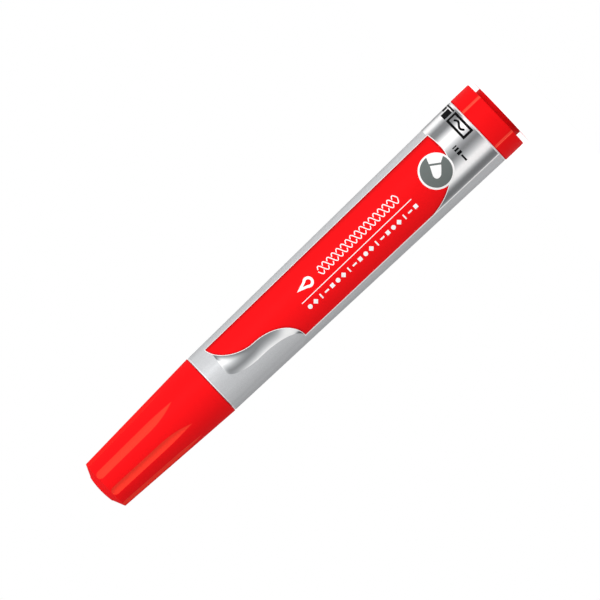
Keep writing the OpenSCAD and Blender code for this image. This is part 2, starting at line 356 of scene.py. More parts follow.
def ink(name, colour):
    """Screen-printed ink with a slightly uneven film."""
    rough = 0.4
    m, shader = material(name, colour, rough, level=0.06)
    w = Wires(m, shader)
    w.colour(w.tinted(colour, w.noise(2600.0, 3.0), 0.94, 1.0))
    w.rough(w.ranged(w.noise(1800.0, 3.0), rough - 0.06, rough + 0.1))
    w.normal(w.bump(w.noise(3200.0, 2.0), 0.00001, 0.3))
    return m


def natural_plastic():
    """Milky unpigmented plastic of the liner."""
    m, shader = material("natural_plastic", (0.86, 0.85, 0.80), 0.5, level=0.4)
    shader.inputs["Subsurface Weight"].default_value = 0.25
    shader.inputs["Subsurface Radius"].default_value = (1.0, 0.95, 0.85)
    shader.inputs["Subsurface Scale"].default_value = 0.0006
    w = Wires(m, shader)
    w.colour(w.tinted((0.86, 0.85, 0.80), w.noise(420.0, 3.0), 0.93, 1.0))
    w.rough(w.ranged(w.noise(1500.0, 3.0), 0.42, 0.58))
    w.normal(w.bump(w.noise(3600.0, 2.0), 0.000015, 0.3))
    return m


def inked_fibre():
    """Bonded polyester fibre along the axis, soaked with red ink."""
    colour = (0.42, 0.012, 0.022)
    m, shader = material("inked_fibre", colour, 0.9, level=0.3, sheen=0.25)
    w = Wires(m, shader)
    strands = w.noise(1.0, 4.0, (6500.0, 6500.0, 420.0), 0.65)
    blot = w.noise(700.0, 3.0)
    dark = tuple(c * 0.45 for c in colour)
    bright = tuple(min(1.0, c * 1.5) for c in colour)
    base = w.ramp(strands, [(0.25, dark), (0.55, colour), (0.8, bright)])
    w.colour(w.tinted(base, blot, 0.75, 1.05))
    w.rough(w.ranged(strands, 0.8, 1.0))
    w.normal(w.bump(strands, 0.00006, 0.7))
    return m


def clear_film():
    """Milky wrap film round the reservoir, lightly creased along its length."""
    m, shader = material("clear_film", (0.88, 0.86, 0.84), 0.3, level=0.5)
    w = Wires(m, shader)
    crease = w.noise(1.0, 3.0, (420.0, 420.0, 30.0))
    w.colour(w.ramp(crease, [(0.3, (0.80, 0.70, 0.68)), (0.7, (0.90, 0.88, 0.86))]))
    w.rough(w.ranged(crease, 0.22, 0.4))
    w.normal(w.bump(crease, 0.00008, 0.4))
    return m


def pale_floor():
    """A plain floor that is white to the camera and throws little light up the marker."""
    m, shader = material("pale_floor", (0.93, 0.93, 0.93), 0.7, level=0.1)
    shader.inputs["Emission Color"].default_value = (1.0, 1.0, 1.0, 1.0)
    w = Wires(m, shader)
    seen = w.add("ShaderNodeLightPath").outputs["Is Camera Ray"]
    w.link(w.ranged(seen, 0.08, 0.5), shader.inputs["Emission Strength"])
    w.colour(w.tinted((0.93, 0.93, 0.93), w.noise(60.0, 4.0), 0.985, 1.0))
    w.normal(w.bump(w.noise(1500.0, 2.0), 0.00004, 0.15))
    return m


RED, GREY, FOIL = red_plastic(), barrel_plastic(), silver_foil()
RED_PRINT = red_print()
WHITE_INK = ink("white_print", (0.93, 0.93, 0.93))
BLACK_INK = ink("black_print", (0.0035, 0.0035, 0.004))
GREY_INK = ink("grey_print", (0.145, 0.165, 0.16))
NATURAL, FIBRE, FILM = natural_plastic(), inked_fibre(), clear_film()


# ---------------------------------------------------------------- end plug

def end_plug():
    """The plug with its grooved collar, and the cross inside that the reservoir stands on."""
    count, groove, outside = 5, 0.3, 8.6  # grooves, their half width, and a radius only the collar passes
    centres = [math.pi * (2 * i + 1) / count - math.pi / 2 for i in range(count)]
    angles = circle_angles(240, centres, groove / COLLAR_R, 7)
    boss, skirt, inner, core = 6.95, 8.2, 7.1, 5.4
    floor_z, step_z, top = 1.45, 3.0, plug_high[2]
    outline = rounded([
        (0, 0, 0), (boss, 0, 0.25), (boss, COLLAR_Z, 0.12), (COLLAR_R, COLLAR_Z, 0.28),
        (COLLAR_R, PLUG_Z, 0.25), (skirt, PLUG_Z, 0), (skirt, PLUG_Z + 3.4, 0), (skirt + BEAD, PLUG_Z + 3.7, 0.05),
        (skirt + BEAD, PLUG_Z + 4.3, 0.05), (skirt, PLUG_Z + 4.6, 0), (skirt, top - 0.5, 0.2),
        (skirt - 0.4, top, 0.15), (inner, top, 0.15), (inner, step_z, 0.3), (core, step_z, 0),
        (core, floor_z, 0.2), (0, floor_z, 0)])
    outline = refine(outline, 1.2)
    painted_highlight, shade = [], []

    def shape(r, z, angles):
        radius = np.full(len(angles), float(r))
        if COLLAR_Z - 0.01 < z < PLUG_Z + 0.01 and r > outside:
            for c in centres:
                side = np.abs(wrapped(angles - c)) * COLLAR_R
                cut = COLLAR_R - np.sqrt(np.clip(groove ** 2 - side ** 2, 0, None)) * 0.85
                radius = np.where(side <= groove * 1.001, np.minimum(radius, cut), radius)
        return radius

    verts, faces = lathe(outline, angles, shape)
    for x, y, z in verts:
        r, a = math.hypot(x, y), math.atan2(y, x)
        off = min(abs(wrapped(a - c)) for c in centres) * COLLAR_R
        on = COLLAR_Z + 0.05 < z < PLUG_Z - 0.01 and r > outside
        # Painted highlight: the collar's grooves are paler red
        painted_highlight.append(float(np.clip((groove * 1.3 - off) / 0.08, 0, 1)) if on else 0.0)
        # Painted shade: darker red at the collar's rim next to the barrel and all over the raised disc
        rim = float(np.clip((z - PLUG_Z + 0.32) / 0.15, 0, 1)) if r > outside else 0.0
        shade.append(0.2 if z < COLLAR_Z + 0.02 and r < 7.5 else 0.7 * rim)
    build("end_plug_moulding", verts, faces, "marker_body", RED, ["end_plug"],
          {"painted_highlight": painted_highlight, "shade": shade})
    for a, name in ((0.0, "plug_web_long"), (90.0, "plug_web_cross")):
        plug_web(name, math.radians(a))


def plug_web(name, angle):
    """One wall of the cross, narrower in the cored end than in the skirt."""
    narrow, wide, thick = 5.5, 7.3, 0.5
    low, step, high = 1.4, 2.95, PLUG_Z + 4.8
    right = [(narrow, low), (narrow, step), (wide, step), (wide, high)]
    outline = [(-narrow, low)] + right + [(-wide, high), (-wide, step), (-narrow, step)]
    turn = Matrix.Rotation(angle, 3, "Z")
    points = [turn @ Vector((x, s * thick, z)) for s in (-1, 1) for x, z in outline]
    n = len(outline)
    sides = [(k, (k + 1) % n, n + (k + 1) % n, n + k) for k in range(n)]
    web = [tuple(range(n)), tuple(range(2 * n - 1, n - 1, -1))]
    build(name, points, sides + web, "marker_body", RED, masks={"painted_highlight": [0.0] * (2 * n)})


# ---------------------------------------------------------------- barrel

def barrel_r(z):
    return REAR_R + (FRONT_R - REAR_R) * (z - PLUG_Z) / (SHOULDER_Z - PLUG_Z)


def barrel():
    """The tapered tube, with ribs in its bore and a groove for each bead that sits in it."""
    ribs = [math.pi * i / 3 for i in range(6)]
    rib_r, rib_half = 5.9, 0.4 / 6.0  # in millimetres and in radians
    angles = circle_angles(240, ribs, rib_half, 2)
    rear, bore, front, seat = 8.25, 8.0, 7.12, 7.0
    bore_z, seat_z = PLUG_Z + 8.3, SHOULDER_Z - 13.5
    bore_low, bore_high = bore_z + 1, seat_z - 2
    slope = (front - bore) / (seat_z - bore_z)
    outline = rounded([
        (REAR_R - 0.6, PLUG_Z, 0), (REAR_R, PLUG_Z, 0.22), (FRONT_R, SHOULDER_Z, 0.22),
        (seat, SHOULDER_Z, 0.1), (seat, SHOULDER_Z - 6.4, 0), (seat + GROOVE, SHOULDER_Z - 6.7, 0),
        (seat + GROOVE, SHOULDER_Z - 7.3, 0), (seat, SHOULDER_Z - 7.6, 0), (seat, seat_z, 0),
        (front, seat_z - 0.3, 0), (bore, bore_z, 0), (rear, bore_z - 0.2, 0), (rear, PLUG_Z + 4.6, 0),
        (rear + GROOVE, PLUG_Z + 4.3, 0), (rear + GROOVE, PLUG_Z + 3.7, 0), (rear, PLUG_Z + 3.4, 0),
        (rear, PLUG_Z, 0)])
    # Rows at both ends of the ribs
    done = []
    for p, q in zip(outline, outline[1:]):
        done.append(p)
        if abs(p[0] - front) < 1e-6 and q[0] > p[0] and q[1] < p[1] - 10:
            for z in (bore_high + 0.02, bore_high, bore_low, bore_low - 0.02):
                done.append((front + slope * (z - seat_z), z))
    done.append(outline[-1])
    outline = refine(done, 3.0)

    def shape(r, z, angles):
        radius = np.full(len(angles), float(r))
        if r <= bore and bore_low - 1e-6 <= z <= bore_high + 1e-6:
            for c in ribs:
                radius = np.where(np.abs(wrapped(angles - c)) <= rib_half * 1.001, rib_r, radius)
        return radius

    def at_end(x, y, z):
        return math.hypot(x, y) > 7.9 and (z > SHOULDER_Z - 0.3 or z < PLUG_Z + 0.3)

    verts, faces = lathe(outline, angles, shape, closed=True)
    # Painted highlight: this mask marks both end rims, which the material makes paler
    edge = [1.0 if at_end(*v) else 0.0 for v in verts]
    build("barrel_tube", verts, faces, "marker_body", GREY, ["barrel"], {"edge": edge})


# ---------------------------------------------------------------- nose section and nib

def nose_section():
    """The nose: a spigot with a bead at each end, and a cone with a sleeve and air channels round the nib."""
    r, bore, vent = 6.95, 2.43, 0.3  # vent is a channel's half width and its depth
    vents = [math.radians(45 + 90 * i) for i in range(4)]
    vent_half = vent / bore
    angles = circle_angles(160, vents, vent_half, 4)
    tip = nose_high[2]
    rear = nose_low[2]
    snap, grip = SHOULDER_Z + 5.0, SHOULDER_Z - 7.0
    cone, cone_end = SHOULDER_Z + 8.4, tip - 5.6
    throat = SHOULDER_Z + 9.5
    hollow, sleeve = 5.95, 3.6
    outline = rounded([
        (hollow, rear, 0), (r - 0.4, rear, 0.1), (r, rear + 0.6, 0.1),
        (r, grip - 0.6, 0), (r + BEAD, grip - 0.3, 0.06), (r + BEAD, grip + 0.3, 0.06), (r, grip + 0.6, 0),
        (r, snap - 0.6, 0.1), (r + BEAD, snap - 0.3, 0.1), (r + BEAD, snap + 0.3, 0.1), (r, snap + 0.6, 0.1),
        (r, cone - 0.4, 0.15), (r - 0.4, cone, 0.3), (4.13, cone_end, 0.5), (3.78, cone_end + 0.35, 0.4),
        (sleeve, tip, 0.3), (bore, tip, 0.08), (bore, throat, 0), (3.9, throat - 1.2, 0.2),
        (hollow, SHOULDER_Z + 3.0, 0.3), (hollow, rear, 0)])
    outline = refine(outline, 1.5)

    def shape(radius, z, angles):
        out = np.full(len(angles), float(radius))
        if radius < bore + 0.2:
            for c in vents:
                off = np.abs(wrapped(angles - c))
                out = np.where(off <= vent_half * 1.001, (bore + vent) / np.cos(np.minimum(off, 1.0)), out)
        return out

    verts, faces = lathe(outline[:-1], angles, shape, closed=True)
    build("nose_moulding", verts, faces, "marker_body", GREY, ["nose_section"])


def nib():
    """The fibre rod, with a bullet tip and a pointed rear end."""
    low, tip = nib_low[2], nib_high[2]
    r, length = 2.4, 3.7
    points = [(0, low, 0), (0.9, low, 0.15), (r, low + 2.5, 0.4), (r, tip - length, 0)]
    outline = rounded(points)
    outline += [(r * math.cos(a), tip - length + length * math.sin(a))
                for a in (math.pi / 2 * k / 24 for k in range(1, 24))] + [(0, tip)]
    verts, faces = lathe(refine(outline, 1.0), circle_angles(128))
    build("bullet_nib", verts, faces, "marker_body", FIBRE, ["nib"])


# ---------------------------------------------------------------- cap

def cap_shell():
    """The cap, with its flutes cut by a spindle that lies along the side."""
    count, lip, width, depth = 8, 0.2, 2.1, 0.35
    centres = [2 * math.pi * (i + 0.5) / count - math.pi / 2 for i in range(count)]
    start, end, taper = SHOULDER_Z + 9.6, DOME_Z + 0.1, 8.6
    length = end - start
    spindle = (width ** 2 / 4 + depth ** 2) / (2 * depth)
    stand = spindle - depth
    dome_r = 6.2  # the dome inside this radius has no flutes
    step_z, pocket_z, pocket_end = SHOULDER_Z + 9.2, SHOULDER_Z + 31.9, SHOULDER_Z + 33.6
    bore, cone, pocket, snap = 7.12, 6.7, 5.28, SHOULDER_Z + 5.0
    neck = pocket - 0.13  # the lip that holds the liner's base
    flank = DOME_Z + 1.25
    outer = rounded([
        (bore + 0.3, CAP_Z, 0), (CAP_MOUTH_R, CAP_Z, lip), (CAP_TOP_R, DOME_Z, 0.24), (3.85, flank, 0.06),
        (3.72, flank + 0.15, 0.06)], steps=6)
    disc, rise = 3.72, TOP_Z - flank - 0.15
    outer = refine(outer, 0.4)
    outer += [(disc * a, TOP_Z - rise * a * a) for a in (1 - k / 14 for k in range(1, 14))] + [(0, TOP_Z)]
    inner = rounded([
        (0, pocket_end, 0), (pocket, pocket_end, 0.1), (pocket, pocket_z + 0.25, 0),
        (neck, pocket_z + 0.15, 0), (neck, pocket_z, 0), (pocket + 0.15, pocket_z - 0.3, 0.1),
        (cone, step_z, 0.1), (bore, step_z - 0.4, 0.1), (bore, snap + 0.6, 0),
        (bore + BEAD, snap + 0.3, 0.05), (bore + BEAD, snap - 0.3, 0.05), (bore, snap - 0.6, 0),
        (bore, CAP_Z + 0.4, 0.1), (bore + 0.3, CAP_Z, 0)])
    # Painted highlight on the flutes; the one past the label's left edge gets much less of it
    dimmed_flute = 1  # the flute past the label's left edge is hardly paler than the plastic round it
    painted_highlight, shade = [], []

    def bend(z):
        """How far the pointed end of a flute leans to one side."""
        return 0.6 * min(1.0, max(0.0, 1 - (z - start) / taper)) ** 2.3

    def reach(z):
        """Half width of the flute at a height, as a share of its most."""
        along = end - z
        if along <= 0 or along >= length:
            return 0.0
        if along < 1:
            return math.sqrt(1 - (1 - along) ** 2)
        return 1.0 if along < length - taper else 1 - ((along - length + taper) / taper) ** 2

    def cut(z, side):
        """Depth of the flute at a height, at an offset from its middle line."""
        r = math.sqrt(stand ** 2 + (width / 2 * reach(z)) ** 2)
        return np.sqrt(np.clip(r * r - side * side, 0, None)) - stand

    def shape(r, z, angles):
        """The outside's radius at one height; it also notes the masks, row by row."""
        radius = np.full(len(angles), float(r))
        painted_highlight_row = np.zeros(len(angles))
        if r > dome_r and start < z < end:
            for k, c in enumerate(centres):
                lean = bend(z) * (1 if k % 2 == 0 else -1)
                side = np.abs(wrapped(angles - c) * r - lean)
                raw = np.where(side < 1.6, cut(z, side), -1.0)
                soft = 0.5 * (raw + np.sqrt(raw * raw + 0.018 ** 2))
                radius -= np.where(raw > -0.4, soft, 0.0)
                # Painted highlight: how much paler each flute's red is made
                highlight_level = 0.15 if k == dimmed_flute else 0.7
                inside = np.clip((width / 2 * reach(z) - side) / 0.1 + 0.5, 0, 1)
                painted_highlight_row = np.maximum(painted_highlight_row, highlight_level * inside)
        painted_highlight.extend(painted_highlight_row)
        # Painted shade: darker red at the cap's mouth rim
        mouth = float(np.clip((CAP_Z + 0.3 - z) / 0.15, 0, 1))
        shade.extend([0.7 * mouth] * len(angles))
        return radius

    angles = circle_angles(480)
    # The outside runs from the mouth to the apex, the inside from its roof back to the mouth
    v1, f1 = lathe(outer, angles, shape)
    v2, f2 = lathe(inner, angles)
    faces = f1 + [tuple(i + len(v1) for i in f) for f in f2]
    rest = [0.0] * (1 + len(v2))  # the apex, and all of the inside
    build("cap_moulding", v1 + v2, faces, "cap", RED, ["cap_shell"],
          {"painted_highlight": painted_highlight + rest, "shade": shade + rest}, crease=50.0)


def cap_liner():
    """The cup in the cap, with a wide base in the pocket and a sealing lip at its mouth."""
    low, top = liner_low[2], liner_high[2]
    flange, outer, bore, seal, base = 5.22, 4.85, 4.0, 3.8, top - 1.3
    outline = rounded([
        (0, top, 0), (flange, top, 0.12), (flange, base, 0.12), (outer, base, 0.1),
        (outer, low + 1.6, 0.15), (outer + 0.4, low + 1.0, 0.15), (outer + 0.4, low, 0.15),
        (bore + 0.25, low, 0.12), (seal, low + 1.1, 0.15), (seal, low + 1.7, 0.15),
        (bore, low + 2.4, 0.2), (bore, base, 0.3), (0, base, 0)])
    verts, faces = lathe(refine(outline, 1.2), circle_angles(160))
    build("liner_cup", verts, faces, "cap_inner", NATURAL, ["cap_liner"])


# ---------------------------------------------------------------- printed label

LABEL_Z = SHOULDER_Z - 4.4
LABEL_LEFT, LABEL_RIGHT = 6.88, -6.72  # its two edges at its cap end
LABEL_FLARE = 0.0068                   # how fast they spread towards the plug
WAVE_X, WAVE_MID, WAVE_LEN = 0.2, 9.4, 10.25
WAVE_Z = LABEL_Z - WAVE_MID
WAVE_END_Z = WAVE_Z - WAVE_LEN
PANEL_REAR_Z = PLUG_Z + 9.1
ROUND_LEN = 14.25
BAND_END = 240  # degrees round to the left where the silver band stops
ARC_R = 9.0     # radius at which lengths round the barrel are measured
STEPS = 40
FOOT, FOIL_TOP = 0.004, 0.05  # heights over the barrel of all print's underside, and of the foils' top


def label_left(z):
    return LABEL_LEFT + LABEL_FLARE * (LABEL_Z - z)


def label_right(z):
    return LABEL_RIGHT - LABEL_FLARE * (LABEL_Z - z)


def quarter():
    """Angles of a quarter turn."""
    return [math.pi / 2 * k / STEPS for k in range(STEPS + 1)]


def red_wave():
    """Front edge of the red panel, from the left corner to the right one."""
    power = 2 / 1.75
    left, right = label_left(LABEL_Z), label_right(WAVE_END_Z)
    first = [(left - (left - WAVE_X) * math.sin(a) ** power, WAVE_Z + WAVE_MID * math.cos(a) ** power)
             for a in quarter()]
    return first + [(right + (WAVE_X - right) * math.cos(a), WAVE_Z - WAVE_LEN * math.sin(a))
                    for a in quarter()[1:]]


def swoosh_low():
    """Lower edge of the silver swoosh, from the label's end to the wave's end."""
    right = label_right(WAVE_END_Z)
    start_x, reach, fall, low_x = -0.24, 3.06, 8.1, -3.3
    first = [(start_x - reach * math.sin(a), LABEL_Z - fall * (1 - math.cos(a))) for a in quarter()]
    return first + [(right + (low_x - right) * math.cos(a), WAVE_Z - WAVE_LEN * math.sin(a))
                    for a in quarter()]


def red_rear(back=0.0):
    """Rounded rear edge of the red panel, from the left edge to the right one, moved out by back."""
    peak, flat = 3.3, math.asin(0.23)
    left, right = label_left(PANEL_REAR_Z), label_right(PANEL_REAR_Z + ROUND_LEN)
    base, reach = PANEL_REAR_Z + ROUND_LEN, ROUND_LEN + back
    first = [(peak + (left - peak) * math.sin(flat * (1 - k / 8)) / math.sin(flat),
              base - reach * math.cos(flat * (1 - k / 8))) for k in range(9)]
    return first + [(peak - (peak - right + back) * math.sin(a), base - reach * math.cos(a))
                    for a in quarter()[1:]]


def turned(x, z):
    """Angle round the axis, from the label's middle, of a point seen at x from the front."""
    return math.asin(max(-1.0, min(1.0, x / barrel_r(z))))


def onto(points):
    """Front-view points as (length round the barrel, height)."""
    return [(ARC_R * turned(x, z), z) for x, z in points]


def within(loops, p):
    """Which points lie inside an odd number of loops."""
    inside = np.zeros(len(p), bool)
    for loop in loops:
        q = np.array(loop)
        a, b = q, np.roll(q, -1, axis=0)
        for (x0, y0), (x1, y1) in zip(a, b):
            if y0 == y1:
                continue
            spans = (y0 > p[:, 1]) != (y1 > p[:, 1])
            inside ^= spans & (p[:, 0] < (x1 - x0) * (p[:, 1] - y0) / (y1 - y0) + x0)
    return inside


def near(line, half, p):
    """Which points lie within half of a line."""
    best = np.full(len(p), 1e9)
    q = np.array(line)
    for a, b in zip(q, q[1:]):
        d = b - a
        t = np.clip(((p - a) @ d) / max(d @ d, 1e-12), 0, 1)
        best = np.minimum(best, np.linalg.norm(p - a - t[:, None] * d, axis=1))
    return best <= half


def divide(loop, longest):
    """The same loop with no step longer than longest."""
    out = []
    for p, q in zip(loop, loop[1:] + loop[:1]):
        count = max(1, math.ceil(math.dist(p, q) / longest))
        out += [(p[0] + (q[0] - p[0]) * k / count, p[1] + (q[1] - p[1]) * k / count)
                for k in range(count)]
    return out


def offset_loop(line, half, ends=8):
    """Outline of a line drawn with a round pen."""
    q = np.array(line, float)
    d = np.gradient(q, axis=0)
    d /= np.linalg.norm(d, axis=1)[:, None]
    side = np.stack([-d[:, 1], d[:, 0]], 1) * half

    def round_end(tip, base):
        turns = [base - math.pi * k / ends for k in range(1, ends)]
        return [(tip[0] + half * math.cos(a), tip[1] + half * math.sin(a)) for a in turns]

    out = [tuple(v) for v in q + side]
    out += round_end(q[-1], math.atan2(side[-1][1], side[-1][0]))
    out += [tuple(v) for v in (q - side)[::-1]]
    return out + round_end(q[0], math.atan2(-side[0][1], -side[0][0]))


def filled(item, step):
    """Flat points and faces of a printed area.

    (loops,) is filled between its loops, and (line, half) is a stroke.
    """
    area_item = len(item) == 1
    loops = [divide(loop, step * 0.7) for loop in item[0]] if area_item else [offset_loop(*item)]
    points = [p for loop in loops for p in loop]
    edges, k = [], 0
    for loop in loops:
        edges += [(k + i, k + (i + 1) % len(loop)) for i in range(len(loop))]
        k += len(loop)
    ring = np.array(points)
    low, high = ring.min(0), ring.max(0)
    if area_item and min(high - low) > step * 1.5:
        across = np.arange(low[0] + step / 2, high[0], step)
        up = np.arange(low[1] + step / 2, high[1], step)
        gx, gz = np.meshgrid(across, up)
        gx[1::2] += step / 2
        grid = np.stack([gx.ravel(), gz.ravel()], 1)
        grid = grid[within(loops, grid)]
        points += [tuple(g) for g in grid if np.min(np.abs(ring - g).sum(1)) > step * 0.55]
    flat, _, out, _, _, _ = delaunay_2d_cdt([Vector(p) for p in points], edges, [], 0, 1e-5)
    centre = np.array([np.mean([flat[i] for i in f], axis=0) for f in out])
    area = [abs((flat[f[1]] - flat[f[0]]).cross(flat[f[2]] - flat[f[0]])) for f in out]
    inside = within(loops, centre) if area_item else near(item[0], item[1] * 1.02, centre)
    return flat, [f for f, ok, a in zip(out, inside, area) if ok and a > 1e-7]


def film(name, items, top, mat, step=0.6, painted_shade_and_shine=None, replaces=()):
    """Printed areas as one thin closed skin on the barrel, from its foot to its top."""
    verts, faces, painted_shade_and_shine_values = [], [], []
    for item in items:
        flat, kept = filled(item, step)
        used = sorted({i for f in kept for i in f})
        place = {v: k for k, v in enumerate(used)}
        first, n = len(verts), len(used)
        for level in (top, FOOT):
            for i in used:
                arc, z = flat[i]
                a, r = arc / ARC_R, barrel_r(z) + level
                verts.append((r * math.sin(a), -r * math.cos(a), z))
                painted_shade_and_shine_values.append(painted_shade_and_shine(a, z) if painted_shade_and_shine else 0.5)
        rim = {}
        for f in kept:
            g = [place[i] for i in f]
            faces.append(tuple(first + i for i in g))
            faces.append(tuple(first + n + i for i in reversed(g)))
            for a, b in zip(g, g[1:] + g[:1]):
                if (b, a) in rim:
                    del rim[(b, a)]
                else:
                    rim[(a, b)] = True
        for a, b in rim:
            faces.append((first + b, first + a, first + n + a, first + n + b))
    build(name, verts, faces, "marker_body", mat, replaces, {"painted_shade_and_shine": painted_shade_and_shine_values}, crease=40.0)


def band_painted_reflection(a, z):
    """Painted reflection on the band: pale streaks that rise slowly away from the middle and end sharply."""
    middle, left_pitch, right_pitch = -3.6, 46.3, 39.1
    off = math.degrees(a) - middle
    place = abs(off) / (left_pitch if off > 0 else right_pitch) % 2
    place = min(place, 2 - place)
    rise = 1.5 if off > 0 else 1.15
    light = (place / 0.45) ** rise if place < 0.45 else (0.9 - place) / 0.27
    return 0.49 + 0.51 * max(0.0, min(1.0, light))


def panel():
    outline = red_wave() + list(reversed(red_rear()))
    ends = np.array(onto(along(red_wave(), 200) + along(red_rear(), 200)))

    def edge(a, z):
        """Painted shade: 1 at the edge of the print, less inside; the dark goes deepest along the left edge."""
        left = max(0.0, ARC_R * (turned(label_left(z), z) - a))
        end = np.min(np.hypot(ends[:, 0] - ARC_R * a, ends[:, 1] - z))
        return max(math.exp(-left / 0.7), math.exp(-end / 0.2))

    film("label_red", [([onto(outline)],)], FOIL_TOP, RED_PRINT, step=0.5, painted_shade_and_shine=edge,
         replaces=["label_red_panel"])


def band():
    """The silver band: the front under the red panel's rounded end, and the strip that goes round the back."""
    low, top = PLUG_Z + 0.28, PLUG_Z + 9.7
    end = ARC_R * math.radians(BAND_END)
    edge = [p for p in red_rear(0.1) if p[0] > label_right(p[1]) + 0.1]
    blunt = edge[-1][1]
    front = onto(edge)
    right = onto([(label_right(blunt), blunt), (label_right(low), low)])
    loop = front + right + [(end, low), (end, top), (front[0][0] + 0.02, top)]
    film("label_band", [([loop],)], FOIL_TOP, FOIL, painted_shade_and_shine=band_painted_reflection,
         replaces=["label_silver_band"])


def swoosh():
    """The silver swoosh, as a ribbon between the red wave and its own lower edge."""
    upper = [p for p in red_wave() if p[0] < 5.1]
    lower = swoosh_low()
    rows, across = 90, 18
    a, b = np.array(along(upper, rows)), np.array(along(lower, rows))
    verts, painted_shade_and_shine_values, faces = [], [], []
    for level in (FOIL_TOP, FOOT):
        for i in range(rows):
            u = i / (rows - 1)
            for j in range(across + 1):
                v = j / across
                x, z = a[i] + (b[i] - a[i]) * v
                z = min(z, LABEL_Z)
                t, r = turned(x, z), barrel_r(z) + level
                verts.append((r * math.sin(t), -r * math.cos(t), z))
                painted_shade_and_shine_values.append(swoosh_painted_reflection(u, v))
    w = across + 1
    n = rows * w
    grid = [(i * w + j, i * w + j + 1, (i + 1) * w + j + 1, (i + 1) * w + j)
            for i in range(rows - 1) for j in range(across)]
    faces = grid + [tuple(n + k for k in reversed(f)) for f in grid]
    rim = [i * w for i in range(rows)] + [(rows - 1) * w + j for j in range(1, w)]
    rim += [i * w + across for i in range(rows - 2, -1, -1)] + [j for j in range(across - 1, 0, -1)]
    faces += [(p, q, n + q, n + p) for p, q in zip(rim, rim[1:] + rim[:1])]
    build("label_swoosh", verts, faces, "marker_body", FOIL, ["label_silver_swoosh"],
          {"painted_shade_and_shine": painted_shade_and_shine_values}, crease=40.0)


def swoosh_painted_reflection(u, v):
    """Painted reflection on the swoosh: u along it, v from the red edge to the lower edge."""
    step = lambda x, c, w: 1 / (1 + math.exp(-(x - c) / w))
    mix = lambda p, q, t: p + (q - p) * t
    # In the painted reflection a dark trough crosses from the lower edge to the red edge, paler on both sides
    trough = 0.9 * (1 - u / 0.75)
    dark = 0.52 + 0.31 * math.exp(-(u / 0.04) ** 2)
    if v < trough:
        highlight_level = 0.52 + 0.47 * math.exp(-(u / 0.25) ** 2.5)
        painted_shade_and_shine = mix(dark, highlight_level, min(1.0, (trough - v) / 0.4) ** 1.1)
    else:
        painted_shade_and_shine = dark + 0.5 * (1 - math.exp(-(u / 0.2) ** 2)) * ((v - trough) / (1 - trough)) ** 1.3
    painted_shade_and_shine -= 0.5 * math.exp(-(v / 0.17) ** 2 - (u / 0.3) ** 2)
    painted_shade_and_shine = mix(painted_shade_and_shine, 0.42, math.exp(-(u / 0.04) ** 2) * (1 - step(v, 0.3, 0.03)))
    painted_shade_and_shine = mix(painted_shade_and_shine, 1.0, step(u, 0.735, 0.03))
    return max(0.0, mix(painted_shade_and_shine, 0.34, step(u + 0.03 * v, 0.925, 0.01)))


def disc(x, z, r, count=48):
    turns = [2 * math.pi * k / count for k in range(count)]
    return [(x + r * math.cos(a), z + r * math.sin(a)) for a in turns]


def bar(x, z, width, height, tilt=0.0):
    c, s = math.cos(tilt), math.sin(tilt)
    corners = [(-width / 2, -height / 2), (width / 2, -height / 2), (width / 2, height / 2),
               (-width / 2, height / 2)]
    return [(x + p * c - q * s, z + p * s + q * c) for p, q in corners]


def polygon(x, z, r, sides, tilt=0.0):
    return [(x + r * math.cos(tilt + 2 * math.pi * k / sides), z + r * math.sin(tilt + 2 * math.pi * k / sides))
            for k in range(sides)]


def along(points, count):
    q = np.array(points)
    d = np.concatenate([[0], np.cumsum(np.linalg.norm(np.diff(q, axis=0), axis=1))])
    t = np.linspace(0, d[-1], count)
    return [tuple(p) for p in np.stack([np.interp(t, d, q[:, 0]), np.interp(t, d, q[:, 1])], 1)]


def keylines():
    """Thin white lines at the edges of the print."""
    left = [(label_left(z) + 0.05, z) for z in np.linspace(LABEL_Z, PANEL_REAR_Z + 0.3, 60)]
    right = [(label_right(z) - 0.02, z) for z in np.linspace(WAVE_END_Z, PLUG_Z + 0.3, 60)]
    wave = along(red_wave(), 120)
    rear = along(red_rear(0.08), 90)
    ring = [(ARC_R * math.radians(a), PLUG_Z + 0.36) for a in np.linspace(-50.5, 240, 240)]
    lines = [(onto(left), 0.09), (onto(right), 0.19), (onto(wave), 0.07), (onto(rear), 0.09), (ring, 0.05)]
    film("label_keylines", lines, 0.062, WHITE_INK, step=0.3)


ICON_X, ICON_Z = -0.1, 20.9
ICON_TURN = math.radians(43.5)


def icon():
    """Nib sign: a bullet nib in its holder on a grey disc, turned on the label."""
    film("icon_ring", [([onto(disc(ICON_X, ICON_Z, 4.36, 96)), onto(disc(ICON_X, ICON_Z, 3.9, 96))],)], 0.075,
         WHITE_INK, step=0.4)
    film("icon_disc", [([onto(disc(ICON_X, ICON_Z, 3.93, 96))],)], 0.07, GREY_INK, step=0.5)
    c, s = math.cos(ICON_TURN), math.sin(ICON_TURN)
    # p runs to the right of the sign and q up it

    def place(points):
        return [(ICON_X - s * p + c * q, ICON_Z - c * p - s * q) for p, q in points]

    turns = np.linspace(math.radians(66), math.radians(127), 16)
    top = [(3.9 * math.cos(a), 3.9 * math.sin(a)) for a in turns]
    holder = top + [(-1.72, 1.62), (1.08, 2.02)]
    tip = [(-1.5, 1.16), (1.16, 1.56), (1.2, 0.3)]
    turns = np.linspace(-0.15, -math.pi * 0.86, 20)
    tip += [(0.12 + 1.06 * math.cos(a), -0.45 + 1.3 * math.sin(a)) for a in turns]
    film("icon_nib", [([onto(place(holder))],), ([onto(place(tip))],)], 0.085, WHITE_INK, step=0.4)


